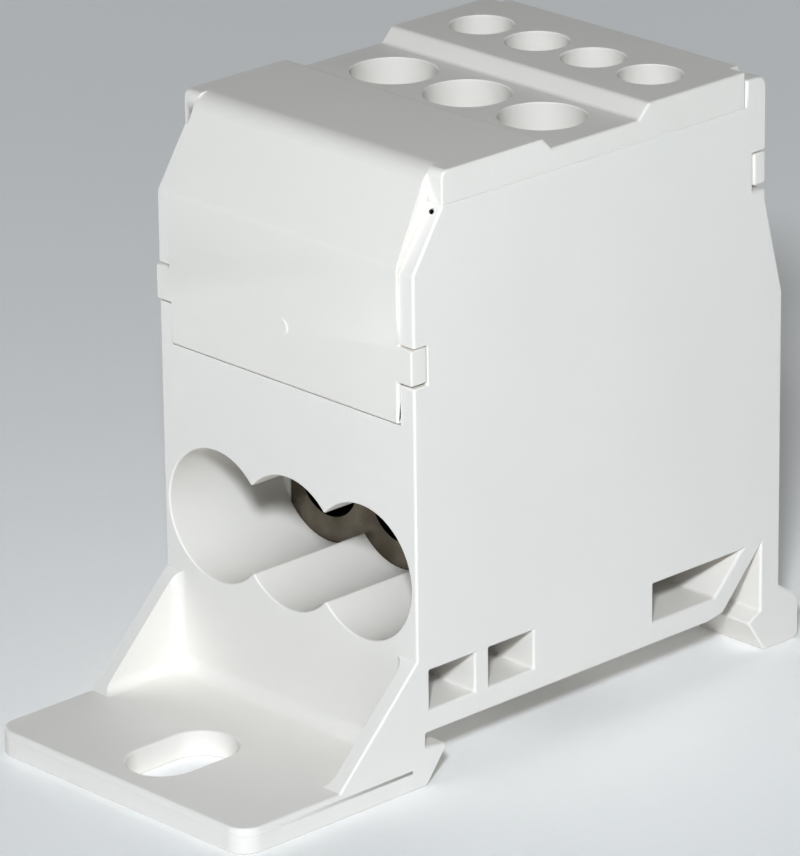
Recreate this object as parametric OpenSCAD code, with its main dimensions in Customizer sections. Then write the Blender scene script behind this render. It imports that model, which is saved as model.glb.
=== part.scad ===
// Single-pole power distribution block for a 35 mm mounting rail or a panel.
// A moulded base holds a plated conductor bar, a clip-on cover closes it, and
// the clamp screws are reached through the holes in the cover.
// Frame: X across the width, Y from the line side (front) to the load side,
// Z up.  The origin is in the middle of the width, at the foot of the front
// wall, on the underside of the fixing foot.  Millimetres throughout.

/* [Line side] */
// Distance between neighbouring line conductors
line_pitch = 7.9; // [7.8:0.1:9]
// Diameter of a line cable entry in the housing
line_entry_d = 10.5; // [9:0.1:11]
// Diameter of a line bore in the conductor bar
line_bore_d = 6.4; // [5:0.1:6.5]
// Depth of the housing in front of the conductor bar
line_entry_l = 11.5; // [9:0.5:13]

/* [Load side] */
// Distance between neighbouring load conductors
load_pitch = 5.96; // [5.4:0.02:6]
// Diameter of a load cable entry in the housing
load_entry_d = 7.8; // [6.4:0.1:8]
// Diameter of a load bore in the conductor bar
load_bore_d = 4.2; // [3.4:0.1:4.6]
// Depth of the housing behind the conductor bar
load_entry_l = 5.3; // [4.6:0.1:6.5]

/* [Housing] */
// Plastic left beside the outermost line entry
entry_wall = 0.6; // [0.5:0.05:1.5]
// Thickness of the side walls
side_wall = 1.5; // [1.2:0.1:2]
// Thickness of the front and rear walls
end_wall = 1.5; // [1.2:0.1:2]
// Height of the joint between base and cover
seam_z = 44.6; // [42:0.2:56]
// Plastic between the rail seat and the side cores
seat_skin = 1.8; // [1.2:0.1:3]
// Height of the side cores under the floor
core_h = 3.1; // [2.4:0.1:5]
// Plastic between the side cores and the cable entries
core_roof = 1.25; // [1:0.05:2.5]
// Length of a front side core
core_l = 4.65; // [3.5:0.05:4.8]
// Thickness of the ribs between cores
rib = 1.45; // [1:0.05:1.8]
// Set-back of the upper part of the rear wall
rear_set_in = 1.95; // [1:0.05:3]

/* [Fixing foot] */
// How far the foot stands out in front
foot_l = 17.4; // [15:0.2:24]
// Thickness of the foot
foot_t = 2.1; // [1.6:0.1:3.5]
// Corner radius of the foot
foot_r = 1.75; // [0.5:0.25:4]
// Width of the screw slot
slot_w = 5.6; // [4.2:0.1:6.6]
// Length of the screw slot, end to end
slot_l = 9.3; // [8:0.1:12]
// Distance from the front wall to the middle of the slot
slot_y = 10.95; // [9:0.05:12]
// Thickness of the gussets
gusset_t = 1.3; // [1:0.1:2.5]
// Length of the gussets along the foot
gusset_l = 7.9; // [5:0.1:9]
// Height of the gussets above the foot
gusset_h = 8; // [5:0.1:10]

/* [Rail mounting] */
// Height of the rail seat above the underside of the foot
seat_z = 4.2; // [3.6:0.1:6]
// Width of the mounting rail
rail_w = 35; // [34:0.5:36]
// Thickness of the mounting rail
rail_t = 1; // [0.8:0.1:1.5]
// Play of the rail between hook and latch leg
rail_play = 0.7; // [0.3:0.1:1.2]
// Reach of the fixed hook under the rail
hook_reach = 2; // [1.2:0.1:3]
// Reach of the latch nose in front of its leg
nose_reach = 1.35; // [0.9:0.05:2]
// Thickness of the latch leg
leg_t = 2.15; // [1.4:0.05:2.6]
// Projection of the release tab behind the rear wall
tab_l = 2.2; // [1:0.1:5]

/* [Cover] */
// Height of the cover top above the joint, front part
cap_h = 2.6; // [2.2:0.1:5]
// Depth of the shallow recess across the top
recess_depth = 0.9; // [0.4:0.1:1.1]
// Extra height of the rear part of the top
rear_rise = 0.2; // [0:0.1:1]
// Thickness of the cover
cap_wall = 1.5; // [1.2:0.1:2]
// Length of the front panel below the joint
front_panel_l = 16.4; // [12:0.2:20]
// Length of the rear panel below the joint
rear_panel_l = 9.4; // [8:0.2:12]
// Height of a clip lug
lug_h = 2.6; // [1.6:0.1:3]
// Diameter of a line screwdriver hole
line_hole_d = 6.7; // [6.4:0.1:7.2]
// Diameter of a load screwdriver hole
load_hole_d = 5; // [4.4:0.1:5.2]
// Wall of the screwdriver collars
collar_wall = 0.9; // [0.6:0.1:1.5]

/* [Conductor bar] */
// Height of the conductor bar
bar_h = 14.2; // [12:0.1:17]
// Metal left under the line bores
bar_under = 2.2; // [2.1:0.1:3]
// Distance from a bar end to its row of screws, line side
line_screw_in = 7.4; // [6:0.1:8]
// Distance from a bar end to its row of screws, load side
load_screw_in = 4.2; // [3.5:0.1:5.5]

/* [Clamp screws] */
// Thread diameter of a line screw
line_screw_d = 6; // [5:0.5:6]
// Length of a line screw
line_screw_l = 8; // [7:0.5:10]
// Thread diameter of a load screw
load_screw_d = 4; // [3:0.5:4]
// Length of a load screw
load_screw_l = 8; // [6:0.5:10]

/* [Clearances] */
// Radial clearance of a screw in its thread
thread_play = 0.05; // [0.02:0.01:0.1]
// Gap between the cover panels and the side walls
panel_gap = 0.12; // [0.05:0.01:0.3]
// Gap beside the conductor bar in its chamber
bar_gap = 0.15; // [0.05:0.05:0.4]
// Gap under a clip lug in its notch
lug_gap = 0.45; // [0.2:0.05:0.8]
// Height of a fully open screw tip above its bore
tip_lift = 0.4; // [0.2:0.1:1]

/* [Hidden] */
$fn = 64;

LINE_COUNT = 3;
LOAD_COUNT = 4;
EPS = 0.01;                 // overshoot of cutting bodies
OVER = 1;                   // generous overshoot past an outer face
RAIL_AIR = 0.05;            // air between hook and rail

// Places across the width
function line_x(i) = (i - (LINE_COUNT + 1) / 2) * line_pitch;
function load_x(i) = (i - (LOAD_COUNT + 1) / 2) * load_pitch;

// Ends of the blind bores in the bar
function line_end(i) = line_screw_y + line_bore_d / 2 + bore_past_screw - (i - 1) * drill_step;
function load_end(i) = load_screw_y - load_bore_d / 2 - bore_past_screw + (i - 1) * drill_step;

// How far a screw's tip can go into its bore before the thread meets the far wall
function depth_below(bore, screw) =
    bore / 2 + sqrt(pow(bore / 2, 2) - pow(screw / 2 + thread_play, 2)) + POINT * screw;

// Overall sizes that follow from the driving ones
body_w = (LINE_COUNT - 1) * line_pitch + line_entry_d + 2 * entry_wall;
half_w = body_w / 2;
chamber_w = body_w - 2 * side_wall;
panel_x = chamber_w / 2;

// Hook, latch leg and the space for the rail; the leg ends the body
hook_y = 0.85;
rail_y1 = hook_y + rail_w;
leg_y = rail_y1 + rail_play;
body_d = leg_y + leg_t;
leg_root_z = seat_z + 4.7;
tab_z = 3.4;
end_slope = 4.1;                           // the base end leans 1:1 over this
base_end_y = leg_y - end_slope;
seat_end_y = base_end_y - 1.7;             // and starts with a short knee
knee_h = 0.3;

// Levels, from the foot up
core_z = seat_z + seat_skin;
cable_z = core_z + core_h + core_roof + line_entry_d / 2;
floor_z = cable_z - line_bore_d / 2 - bar_under;
bar_top = floor_z + bar_h;
line_roof_z = cable_z + line_entry_d / 2 + end_wall;
load_roof_z = cable_z + load_entry_d / 2 + end_wall;
top_z = seam_z + cap_h;
recess_z = top_z - recess_depth;
rear_top_z = top_z + rear_rise;

// Stations along the depth
bar_y0 = line_entry_l;
bar_y1 = body_d - load_entry_l;
bar_l = bar_y1 - bar_y0;
line_screw_y = bar_y0 + line_screw_in;
load_screw_y = bar_y1 - load_screw_in;
upper_rear_y = body_d - rear_set_in;

// Front slope of the cover and of the side walls under it
slope_a = 25;                              // lean of the front face
cap_front_y = 2.95;                        // front edge of the top
cap_edge_r = 2;                            // rounding of that edge, on the panel
cap_end_r = 0.6;                           // and beside the panel
slope_foot_z = top_z - cap_front_y / tan(slope_a);
strip_top_y = 2.95;                        // side wall front edge at the joint
strip_foot_z = seam_z - 4.6;               // where the side walls start to lean

// Rear end of the cover
cap_rear_y = upper_rear_y - 1.45;
ear_y = upper_rear_y - 2.15;               // front of the side wall ears
ear_z = seam_z + 2.1;
ear_r = 0.9;
rear_lean_z0 = seam_z - 15.5;              // rear wall starts to lean in
rear_lean_z1 = seam_z - 7.7;               // and is upright again

// Clip lugs
lug_reach = 1.4;
front_panel_z = seam_z - front_panel_l;
rear_panel_z = seam_z - rear_panel_l;
front_lug_z = front_panel_z + 3.6;
rear_lug_z = rear_panel_z + 3;
panel_proud = 0.25;
lip_t = 1;                                 // base lip behind a panel
lip_h = 2;
lip_gap = 0.1;

// Cores under the floor
core_y0 = hook_y + 0.4;
end_skin = 1.05;                           // skin along the leaning end
rear_core_l = 6.65;
rear_core_end = base_end_y - end_skin;
rear_core_y = rear_core_end - rear_core_l;
pocket_y0 = core_y0 + 2 * (core_l + rib);
pocket_y1 = rear_core_y - rib;
pocket_z = floor_z - end_wall;

// Steps across the top
step_y0 = line_screw_y - 5.7;
step_y1 = line_screw_y + 4.2;

// Screws, drawn fully open, and their way down to the clamped position
line_tip_z = cable_z + line_bore_d / 2 + tip_lift;
load_tip_z = cable_z + load_bore_d / 2 + tip_lift;
POINT = 0.18;                              // height of a screw's point per diameter
line_travel = tip_lift + depth_below(line_bore_d, line_screw_d);
load_travel = tip_lift + depth_below(load_bore_d, load_screw_d);
bore_past_screw = 1.2;
drill_step = 0.2;                          // neighbouring bores end this far apart
collar_lift = 1.6;
collar_z = max(line_tip_z + line_screw_l, load_tip_z + load_screw_l) + collar_lift;
cap_under_z = recess_z - cap_wall;         // underside of the cover top

// ---------------------------------------------------------------- helpers

// A profile drawn as [y, z], carried across the width, centred on X = 0
module across(w) {
    rotate([90, 0, 90])
        linear_extrude(w, center = true)
            children();
}

// A round bore along Y
module bore_y(d, y0, y1) {
    translate([0, y0, 0])
        rotate([-90, 0, 0])
            cylinder(d = d, h = y1 - y0);
}

function unit(v) = v / norm(v);

// What is taken off a profile to round its corner p, with neighbours a and b
module corner_off(p, a, b, r) {
    u = unit(a - p);
    v = unit(b - p);
    half = acos(u * v) / 2;
    t = r / tan(half);
    mid = unit(u + v);
    c = p + mid * r / sin(half);
    difference() {
        polygon([p + u * t, p - mid * r, p + v * t, c]);
        translate(c)
            circle(r);
    }
}

// What is added in an inner corner at the origin, between +X and +Y
module fillet_2d(r) {
    difference() {
        translate([-EPS, -EPS])
            square(r + EPS);
        translate([r, r])
            circle(r);
    }
}

// Rectangle with round corners from p to q
module round_rect(p, q, r) {
    translate([p[0] + r, p[1]])
        square([q[0] - p[0] - 2 * r, q[1] - p[1]]);
    translate([p[0], p[1] + r])
        square([q[0] - p[0], q[1] - p[1] - 2 * r]);
    for (x = [p[0] + r, q[0] - r], y = [p[1] + r, q[1] - r])
        translate([x, y])
            circle(r);
}

// ---------------------------------------------------------------- base

base_outline = [
    [0, 0], [0, strip_foot_z], [strip_top_y, seam_z],
    [ear_y, seam_z], [ear_y, ear_z], [upper_rear_y, ear_z],
    [upper_rear_y, rear_lean_z1], [body_d, rear_lean_z0],
    [body_d, leg_root_z], [leg_y, leg_root_z],
    [base_end_y, seat_z + knee_h], [seat_end_y, seat_z],
    [hook_y, seat_z], [hook_y, 0],
];

module base_profile() {
    difference() {
        polygon(base_outline);
        corner_off([upper_rear_y, ear_z], [ear_y, ear_z], [upper_rear_y, rear_lean_z1], ear_r);
    }
}

// Room for the bar, and above it the free space up to the cover
module chamber_profile() {
    polygon([
        [bar_y0, floor_z], [bar_y1, floor_z], [bar_y1, load_roof_z],
        [body_d - end_wall, load_roof_z], [body_d - end_wall, rear_lean_z0],
        [upper_rear_y - end_wall, rear_lean_z1], [upper_rear_y - end_wall, ear_z + OVER],
        [end_wall, ear_z + OVER], [end_wall, line_roof_z], [bar_y0, line_roof_z],
    ]);
}

// What the front panel of the cover takes out of the front wall
module front_window_profile() {
    inner = end_wall + lip_gap + lip_t + EPS;
    translate([-OVER, front_panel_z])
        square([OVER + inner, top_z - front_panel_z]);
}

// The same at the rear
module rear_window_profile() {
    inner = upper_rear_y - end_wall - lip_gap - lip_t - EPS;
    translate([inner, rear_panel_z])
        square([body_d + OVER - inner, top_z + OVER - rear_panel_z]);
}

// Section of the low wall that stands behind a panel's lower edge, seen from the wall
module lip_profile() {
    y0 = lip_gap;
    y1 = lip_gap + lip_t;
    polygon([
        [-lip_t, -lip_t], [0, -lip_t - y1], [y1, -lip_t], [y1, lip_h],
        [y0, lip_h], [y0, 0], [-lip_t, 0],
    ]);
}

module panel_lips() {
    across(chamber_w)
        translate([end_wall, front_panel_z])
            lip_profile();
    across(chamber_w)
        translate([upper_rear_y - end_wall, rear_panel_z])
            mirror([1, 0])
                lip_profile();
}

// Notches for the clip lugs, right through both side walls
module lug_notches() {
    size = [body_w + 2 * OVER, OVER + lug_reach, lug_h + lug_gap];
    translate([-half_w - OVER, -OVER, front_lug_z - lug_gap])
        cube(size);
    translate([-half_w - OVER, upper_rear_y - lug_reach, rear_lug_z - lug_gap])
        cube(size);
}

// One core from the side, up to the web in the middle
module side_core(side) {
    depth = half_w + OVER - rib / 2;
    translate([side * (rib + depth) / 2, 0, 0])
        across(depth)
            children();
}

module side_cores() {
    for (side = [-1, 1])
        side_core(side) {
            for (i = [0, 1])
                translate([core_y0 + i * (core_l + rib), core_z])
                    square([core_l, core_h]);
            polygon([
                [rear_core_y, core_z], [rear_core_end, core_z],
                [rear_core_end + core_h, core_z + core_h], [rear_core_y, core_z + core_h],
            ]);
        }
}

// Pockets that lighten the rail seat from below
module seat_pockets() {
    for (m = [0, 1])
        mirror([m, 0, 0])
            translate([rib / 2, pocket_y0, seat_z - OVER])
                cube([panel_x - rib / 2, pocket_y1 - pocket_y0, OVER + pocket_z - seat_z]);
}

module cable_entries() {
    for (i = [1:LINE_COUNT])
        translate([line_x(i), 0, cable_z])
            bore_y(line_entry_d, -OVER, bar_y0);
    for (i = [1:LOAD_COUNT])
        translate([load_x(i), 0, cable_z])
            bore_y(load_entry_d, bar_y1, body_d + OVER);
}

// Foot plate with its screw slot
module foot() {
    straight = slot_l - slot_w;
    linear_extrude(foot_t)
        difference() {
            union() {
                round_rect([-half_w, -foot_l], [half_w, 0], foot_r);
                translate([-half_w, -foot_l / 2])
                    square([body_w, foot_l / 2 + hook_y]);
            }
            for (end = [-1, 1])
                translate([0, -slot_y + end * straight / 2])
                    circle(d = slot_w);
            translate([-slot_w / 2, -slot_y - straight / 2])
                square([slot_w, straight]);
        }
}

gusset_outline = [
    [hook_y, 0], [-gusset_l, 0], [-gusset_l, foot_t],
    [0, foot_t + gusset_h], [hook_y, foot_t + gusset_h],
];

// Gussets at both edges of the foot, with soft inner corners
module gussets() {
    side_fillet = 0.9;
    wall_fillet = 1.2;
    for (m = [0, 1])
        mirror([m, 0, 0])
            translate([half_w - gusset_t / 2, 0, 0])
                across(gusset_t)
                    polygon(gusset_outline);
    intersection() {
        across(body_w)
            polygon(gusset_outline);
        for (m = [0, 1])
            mirror([m, 0, 0])
                translate([gusset_t - half_w, 0, foot_t]) {
                    rotate([90, 0, 0])
                        linear_extrude(gusset_l)
                            fillet_2d(side_fillet);
                    rotate([0, 0, -90])
                        linear_extrude(gusset_h)
                            fillet_2d(side_fillet);
                }
    }
    across(body_w - gusset_t)
        translate([0, foot_t])
            mirror([1, 0])
                fillet_2d(wall_fillet);
}

// Fixed hook for the front edge of the rail
module rail_hook() {
    tip_y = hook_y + hook_reach;
    gap_z = seat_z - rail_t - RAIL_AIR;
    across(body_w)
        polygon([
            [0, 0], [hook_y, 0], [hook_y + 0.35, 0.35], [tip_y, gap_z - 0.65],
            [tip_y, gap_z - 0.25], [hook_y, gap_z], [0, gap_z],
        ]);
}

// Springy leg at the rear, with the latch nose and the release tab
module latch_leg() {
    nose_z = seat_z - rail_t - 0.45;
    tab_y = body_d + tab_l;
    ease = 0.6;
    across(body_w)
        difference() {
            polygon([
                [leg_y, leg_root_z], [leg_y, nose_z + 0.7],
                [leg_y - nose_reach, nose_z], [leg_y + 0.5, 0],
                [tab_y, 0], [tab_y, tab_z], [tab_y - ease, tab_z + ease],
                [body_d, tab_z + 1.6], [body_d, leg_root_z + leg_t], [leg_y, leg_root_z + leg_t],
            ]);
            corner_off([tab_y, 0], [body_d, 0], [tab_y, tab_z], ease);
        }
}

// Pin hole of the mould in the leaning part of the right-hand side wall
module pin_hole() {
    translate([half_w - side_wall / 2, strip_top_y - 0.3, seam_z - 0.45])
        rotate([45, 0, 0])
            cylinder(d = 0.4, h = 1.2, center = true);
}

module base_housing() {
    color([0.87, 0.89, 0.9])
        union() {
            difference() {
                across(body_w)
                    base_profile();
                across(chamber_w)
                    chamber_profile();
                across(chamber_w)
                    front_window_profile();
                across(chamber_w)
                    rear_window_profile();
                cable_entries();
                lug_notches();
                pin_hole();
                side_cores();
                seat_pockets();
            }
            panel_lips();
            foot();
            gussets();
            rail_hook();
            latch_leg();
        }
}

// ---------------------------------------------------------------- cover

// Top surface of the cover, front to rear
cap_top = [
    [cap_front_y, top_z], [step_y0, top_z], [step_y0 + recess_depth, recess_z],
    [step_y1, recess_z], [step_y1 + recess_depth + rear_rise, rear_top_z],
    [cap_rear_y, rear_top_z],
];

// The part of the cover that lies on the side walls, at full width
module cap_profile() {
    rear_y = ear_y - panel_gap;
    foot = [cap_front_y, seam_z];
    difference() {
        polygon(concat(
            [[rear_y, seam_z], foot],
            [for (p = cap_top) [min(p[0], rear_y), p[1]]]
        ));
        corner_off(cap_top[0], foot, cap_top[1], cap_end_r);
    }
}

// Section of the cover between the side walls: front panel, top, rear panel
module panel_profile() {
    front = -panel_proud;
    rear = upper_rear_y;
    front_z = front_panel_z + panel_gap;
    rear_z = rear_panel_z + panel_gap;
    bend = [front, slope_foot_z - panel_proud / tan(slope_a)];
    toe = [front, front_z];
    difference() {
        polygon(concat(
            [[end_wall, front_z], toe, bend],
            cap_top,
            [[rear, seam_z - 0.4], [rear, rear_z], [rear - end_wall, rear_z],
             [rear - end_wall, seam_z - 0.8], [cap_rear_y - cap_wall, cap_under_z],
             [cap_front_y + cap_wall * 0.8, cap_under_z], [end_wall, bend[1] + 0.4]]
        ));
        corner_off(cap_top[0], bend, cap_top[1], cap_edge_r);
        corner_off(toe, [end_wall, front_z], bend, panel_proud);
    }
}

// Lugs at the panel edges, which click into the side wall notches
module clip_lugs() {
    root = 0.6;
    play = 0.1;
    w = side_wall + root;
    for (m = [0, 1])
        mirror([m, 0, 0]) {
            translate([half_w - w, -panel_proud, front_lug_z])
                cube([w, panel_proud + lug_reach - play, lug_h - play]);
            translate([half_w - w, upper_rear_y - lug_reach + play, rear_lug_z])
                cube([w, lug_reach - play, lug_h - play]);
        }
}

// A collar that leads the screwdriver down to its screw, clear of the side walls
module collar(d, x) {
    room = panel_x - panel_gap - abs(x);
    translate([0, 0, collar_z])
        cylinder(r = min(d / 2 + collar_wall, room), h = cap_under_z - collar_z + EPS);
}

// Rib behind the line collars that keeps the bar on the floor
module hold_down() {
    w = chamber_w / 2;
    translate([-w / 2, line_screw_y + line_hole_d / 2 + collar_wall / 2, bar_top])
        cube([w, cap_wall, cap_under_z - bar_top + EPS]);
}

// One screwdriver hole with a lead-in round its rim at height z
module driver_hole(d, z) {
    rim = 0.4;
    translate([0, 0, collar_z - OVER])
        cylinder(d = d, h = z - collar_z + 2 * OVER);
    translate([0, 0, z - rim])
        cylinder(d1 = d, d2 = d + 4 * rim, h = 2 * rim);
}

// Mark left by the mould's inlet on the front panel
module gate_mark() {
    translate([0, -panel_proud - 0.08, front_panel_z + 4.6])
        rotate([-90, 0, 0])
            cylinder(d = 1.3, h = 0.5);
}

// Cover without its screwdriver holes
module cover_blank() {
    room_y = cap_front_y + cap_wall;
    difference() {
        across(body_w)
            cap_profile();
        across(chamber_w)
            translate([room_y, seam_z - OVER])
                square([ear_y - cap_wall - room_y, OVER + cap_under_z - seam_z]);
    }
    across(chamber_w - 2 * panel_gap)
        panel_profile();
    clip_lugs();
    hold_down();
    gate_mark();
    for (i = [1:LINE_COUNT])
        translate([line_x(i), line_screw_y, 0])
            collar(line_hole_d, line_x(LINE_COUNT));
    for (i = [1:LOAD_COUNT])
        translate([load_x(i), load_screw_y, 0])
            collar(load_hole_d, load_x(LOAD_COUNT));
}

module cover() {
    color([0.9, 0.9, 0.89])
        difference() {
            cover_blank();
            for (i = [1:LINE_COUNT])
                translate([line_x(i), line_screw_y, 0])
                    driver_hole(line_hole_d, recess_z);
            for (i = [1:LOAD_COUNT])
                translate([load_x(i), load_screw_y, 0])
                    driver_hole(load_hole_d, rear_top_z);
        }
}

// ---------------------------------------------------------------- bar

// A blind cable bore along Y, met from above by a threaded bore at y
module terminal(bore, y0, y1, y, screw) {
    translate([0, 0, cable_z])
        bore_y(bore, y0, y1);
    translate([0, y, cable_z])
        cylinder(r = screw / 2 + thread_play, h = bar_top - cable_z + OVER);
}

module conductor_bar() {
    w = chamber_w - 2 * bar_gap;
    edge = 0.4;
    color([0.78, 0.77, 0.73])
        difference() {
            translate([0, bar_y1, 0])
                rotate([90, 0, 0])
                    linear_extrude(bar_l)
                        polygon([
                            [-w / 2, floor_z], [w / 2, floor_z], [w / 2, bar_top - edge],
                            [w / 2 - edge, bar_top], [edge - w / 2, bar_top],
                            [-w / 2, bar_top - edge],
                        ]);
            for (i = [1:LINE_COUNT])
                translate([line_x(i), 0, 0])
                    terminal(line_bore_d, bar_y0 - OVER, line_end(i), line_screw_y, line_screw_d);
            for (i = [1:LOAD_COUNT])
                translate([load_x(i), 0, 0])
                    terminal(load_bore_d, load_end(i), bar_y1 + OVER, load_screw_y, load_screw_d);
        }
}

// ---------------------------------------------------------------- screws

// Headless screw standing on its point at the origin
module clamp_screw(d, l) {
    point = d * POINT;
    bevel = 0.4;
    cylinder(d1 = d - 2 * point, d2 = d, h = point);
    translate([0, 0, point])
        cylinder(d = d, h = l - point - bevel);
    translate([0, 0, l - bevel])
        cylinder(d1 = d, d2 = d - 2 * bevel, h = bevel);
}

// Line screws take a hexagon key
module line_screw(i) {
    key = line_screw_d / 2;
    key_depth = line_screw_l * 0.42;
    color([0.62, 0.62, 0.64])
        translate([line_x(i), line_screw_y, line_tip_z])
            difference() {
                clamp_screw(line_screw_d, line_screw_l);
                translate([0, 0, line_screw_l - key_depth])
                    cylinder(d = key / cos(30), h = key_depth + OVER, $fn = 6);
            }
}

// Load screws take a flat blade
module load_screw(i) {
    blade = load_screw_d * 0.2;
    blade_depth = load_screw_l * 0.2;
    color([0.62, 0.62, 0.64])
        translate([load_x(i), load_screw_y, load_tip_z])
            difference() {
                clamp_screw(load_screw_d, load_screw_l);
                translate([-load_screw_d, -blade / 2, load_screw_l - blade_depth])
                    cube([2 * load_screw_d, blade, blade_depth + OVER]);
            }
}

base_housing();
cover();
conductor_bar();
line_screw(1);  // line_screw_1
line_screw(2);  // line_screw_2
line_screw(3);  // line_screw_3
load_screw(1);  // load_screw_1
load_screw(2);  // load_screw_2
load_screw(3);  // load_screw_3
load_screw(4);  // load_screw_4
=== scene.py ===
"""Looks of a single-pole power distribution block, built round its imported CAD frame.

The two mouldings, the conductor bar and the clamp screws each have a class, which makes
the piece's mesh and dresses it. All places are in metres in the frame of the CAD model:
+X across the width, +Y from the line side to the load side, +Z up. Sizes of small
features are given in millimetres and multiplied by MM.
"""

import itertools
import logging
import math
from collections.abc import Iterator
from contextlib import contextmanager
from dataclasses import dataclass, field
from enum import Enum

import bmesh
import bpy
import numpy as np
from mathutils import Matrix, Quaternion, Vector


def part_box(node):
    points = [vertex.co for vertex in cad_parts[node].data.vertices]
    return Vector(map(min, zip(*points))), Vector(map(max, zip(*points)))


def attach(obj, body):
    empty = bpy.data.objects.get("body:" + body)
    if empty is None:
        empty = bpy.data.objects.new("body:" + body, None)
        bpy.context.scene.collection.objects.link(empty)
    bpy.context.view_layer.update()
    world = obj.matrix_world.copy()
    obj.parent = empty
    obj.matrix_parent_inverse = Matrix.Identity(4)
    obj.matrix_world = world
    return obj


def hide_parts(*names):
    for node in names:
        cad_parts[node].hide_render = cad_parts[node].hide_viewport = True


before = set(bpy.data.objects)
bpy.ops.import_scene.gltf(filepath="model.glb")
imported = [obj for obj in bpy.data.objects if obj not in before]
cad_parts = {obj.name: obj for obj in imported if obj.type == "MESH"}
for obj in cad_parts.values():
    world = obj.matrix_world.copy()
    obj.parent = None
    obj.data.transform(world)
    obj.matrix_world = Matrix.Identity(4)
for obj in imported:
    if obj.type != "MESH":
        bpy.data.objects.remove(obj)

Array, Material = np.ndarray, bpy.types.Material
Object, Mesh = bpy.types.Object, bpy.types.Mesh
Tree, Node, Socket = bpy.types.NodeTree, bpy.types.Node, bpy.types.NodeSocket
Shape, Vert = bmesh.types.BMesh, bmesh.types.BMVert
Edge, Face = bmesh.types.BMEdge, bmesh.types.BMFace
Pair, Triple = tuple[float, float], tuple[float, float, float]

MM = 0.001
HOUSING = "housing"
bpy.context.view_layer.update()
log = logging.getLogger("distribution_block")

# Points nearer to each other than this, in metres, are one point.
SAME_POINT = 1e-6
# A socket's full range, the range that most noise fills, and its middle part.
UNIT, MOST_NOISE, MID_NOISE = (0.0, 1.0), (0.3, 0.7), (0.35, 0.65)
# The colour sockets of a Mix node, whose names repeat: two inputs and the output.
COLOUR_LOW, COLOUR_HIGH, COLOUR_OUT = 6, 7, 2


# ---- colour and nodes


def linear(hex_colour: str) -> tuple[float, float, float, float]:
    """Turns an sRGB hex colour into linear light.

    Args:
        hex_colour: six hex digits, with or without a leading "#".

    Returns:
        Linear red, green and blue from 0 to 1, and an alpha of 1.
    """
    digits = hex_colour.lstrip("#")
    srgb = np.array([int(digits[i:i + 2], 16) for i in (0, 2, 4)]) / 255
    lin = np.where(srgb <= 0.04045, srgb / 12.92, ((srgb + 0.055) / 1.055) ** 2.4)
    return (*map(float, lin), 1.0)


def set_inputs(tree: Tree, node: Node, inputs: dict) -> None:
    """Gives a node's sockets, by name or number, their values or links.

    Args:
        tree: the node tree.
        node: the node.
        inputs: socket name or number to a value, or to an output socket to link from.
    """
    for name, value in inputs.items():
        if isinstance(value, Socket):
            tree.links.new(value, node.inputs[name])
        else:
            node.inputs[name].default_value = value


def add_node(tree: Tree, kind: str, settings: dict, inputs: dict) -> Node:
    """Adds one node with its settings, socket values and links.

    Args:
        tree: the node tree that gets the node.
        kind: the node's type name, such as "ShaderNodeTexNoise".
        settings: attributes of the node by name.
        inputs: what its sockets get, as in set_inputs.

    Returns:
        The new node.
    """
    node = tree.nodes.new(kind)
    for name, value in settings.items():
        setattr(node, name, value)
    set_inputs(tree, node, inputs)
    return node


def new_material(name: str) -> tuple[Material, Tree, Node, Socket]:
    """Makes a material with its shader and the object's own coordinates.

    Args:
        name: the material's name.

    Returns:
        The material, its node tree, its Principled BSDF, and the coordinate socket.
    """
    mat = bpy.data.materials.new(name)
    mat.use_nodes = True
    tree = mat.node_tree
    place = add_node(tree, "ShaderNodeTexCoord", {}, {}).outputs["Object"]
    return mat, tree, tree.nodes["Principled BSDF"], place


def noise(tree: Tree, place: Socket, size_mm: float, detail: float = 2.0,
          roughness: float = 0.5) -> Socket:
    """Adds noise from 0 to 1 with blobs of a real size, at coordinates in metres."""
    return add_node(tree, "ShaderNodeTexNoise", {},
                    {"Vector": place, "Scale": 1 / (size_mm * MM), "Detail": detail,
                     "Roughness": roughness}).outputs["Fac"]


def remap(tree: Tree, value: Socket, source: Pair, target: Pair) -> Socket:
    """Maps the source range of a value to the target range, and holds it there."""
    return add_node(tree, "ShaderNodeMapRange", {},
                    {"Value": value, "From Min": source[0], "From Max": source[1],
                     "To Min": target[0], "To Max": target[1]}).outputs["Result"]


def blend_colours(tree: Tree, factor: Socket, low: Socket | str,
                  high: Socket | str) -> Socket:
    """Mixes two colours by a factor.

    Args:
        tree: the node tree.
        factor: 0 gives the low colour, 1 the high one.
        low: a hex colour or a colour socket.
        high: a hex colour or a colour socket.

    Returns:
        The mixed colour.
    """
    ends = [linear(end) if isinstance(end, str) else end for end in (low, high)]
    mix = add_node(tree, "ShaderNodeMix", {"data_type": "RGBA"},
                   {"Factor": factor, COLOUR_LOW: ends[0], COLOUR_HIGH: ends[1]})
    return mix.outputs[COLOUR_OUT]


def stacked_bump(tree: Tree, *layers: tuple[Socket, float, float]) -> Socket:
    """Lays several reliefs over each other.

    Args:
        tree: the node tree.
        layers: height from 0 to 1, depth in millimetres and strength of each relief.

    Returns:
        The normal that carries them all.
    """
    below: dict = {}
    for height, depth_mm, strength in layers:
        bump = add_node(tree, "ShaderNodeBump", {},
                        {"Height": height, "Strength": strength,
                         "Distance": depth_mm * MM, **below})
        below = {"Normal": bump.outputs["Normal"]}
    return below["Normal"]


# ---- finishes


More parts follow.
